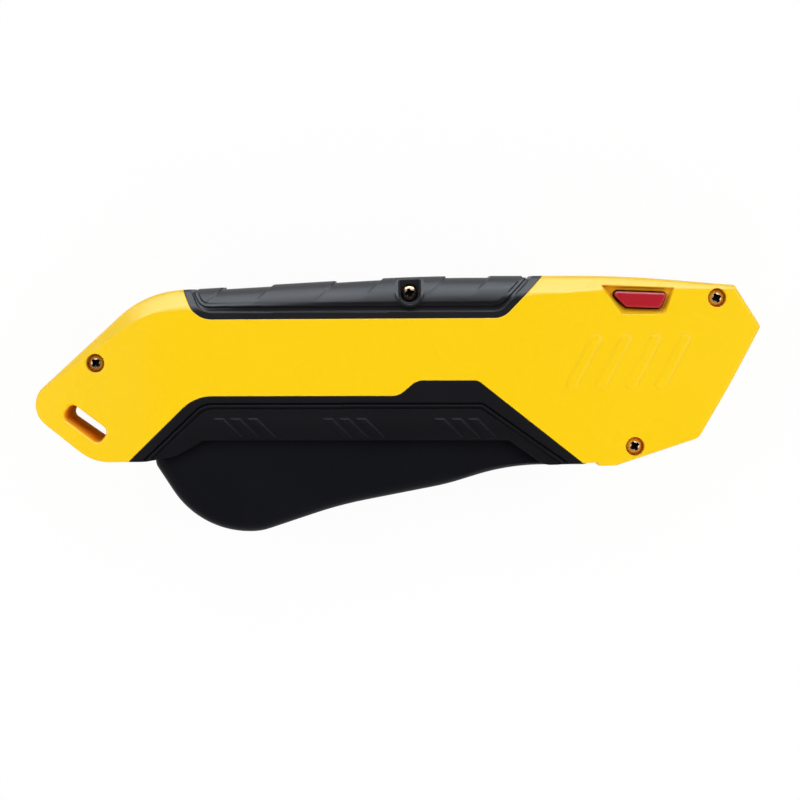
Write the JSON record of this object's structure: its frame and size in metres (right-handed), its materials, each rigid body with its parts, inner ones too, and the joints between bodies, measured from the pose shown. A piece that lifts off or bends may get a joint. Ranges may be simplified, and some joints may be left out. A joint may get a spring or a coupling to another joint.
{
  "type": "utility knife",
  "caption": "Squeeze-lever safety utility knife: split bevelled case with rubber grips, a hinged lever that drives a sprung trapezoid blade out of the nose, and a blade release button.",
  "frame": {"origin": "middle of the object's box, on the plane that its left side lies on", "axes": "+X to the blade's nose, +Y to the back of the handle, +Z to the right side, which is up as the knife lies"},
  "size_m": [0.1749, 0.0622, 0.024],
  "materials": {
    "yellow_plastic": "satin moulded plastic",
    "black_rubber": "soft matte overmould",
    "black_plastic": "satin moulded plastic",
    "red_plastic": "polished plastic",
    "screw_steel": "zinc plated",
    "blade_steel": "ground and honed",
    "spring_steel": "drawn wire",
    "guide_plastic": "acetal, as moulded",
    "carrier_plastic": "glass-filled nylon"
  },
  "bodies": {
    "case": {"right_shell": "yellow_plastic", "left_shell": "yellow_plastic", "right_side_grip": "black_rubber", "left_side_grip": "black_rubber", "right_top_grip": "black_rubber", "left_top_grip": "black_rubber", "case_screws": "screw_steel", "lever_pivot_pin": "screw_steel", "right_blade_guide": "guide_plastic", "left_blade_guide": "guide_plastic", "retract_spring": "spring_steel", "button_spring": "spring_steel"},
    "lever": {"squeeze_lever": "black_plastic"},
    "blade_carriage": {"blade_carrier": "carrier_plastic", "carrier_cover": "carrier_plastic", "carrier_screws": "screw_steel", "blade": "blade_steel", "drive_pin": "screw_steel", "pull_rod": "screw_steel", "rod_clip": "spring_steel", "latch_spring": "spring_steel"},
    "latch": {"blade_latch": "spring_steel"},
    "button": {"release_button": "red_plastic"}
  },
  "joints": [
    {"name": "lever_squeeze", "type": "hinge", "parent": "case", "child": "lever", "pos_m": [0.043, -0.00955, 0.012], "axis": [0, 0, -1], "range_deg": [0, 10], "stiffness_Nm_per_rad": 8, "springref_deg": -2.86},
    {"name": "blade_slide", "type": "slide", "parent": "case", "child": "blade_carriage", "axis": [1, 0, 0], "range_m": [0, 0.015], "deforming": ["retract_spring"]},
    {"name": "button_press", "type": "slide", "parent": "case", "child": "button", "axis": [0, 0, -1], "range_m": [0, 0.0015], "stiffness_N_per_m": 800, "springref_m": -0.001, "deforming": ["button_spring"]},
    {"name": "latch_release", "type": "slide", "parent": "blade_carriage", "child": "latch", "axis": [0, 0, -1], "range_m": [0, 0.0015], "deforming": ["latch_spring"]}
  ],
  "couplings": [
    {"joint": "blade_slide", "follows": "lever_squeeze", "m_per_rad": 0.08594},
    {"joint": "latch_release", "follows": "button_press", "ratio": 1}
  ]
}
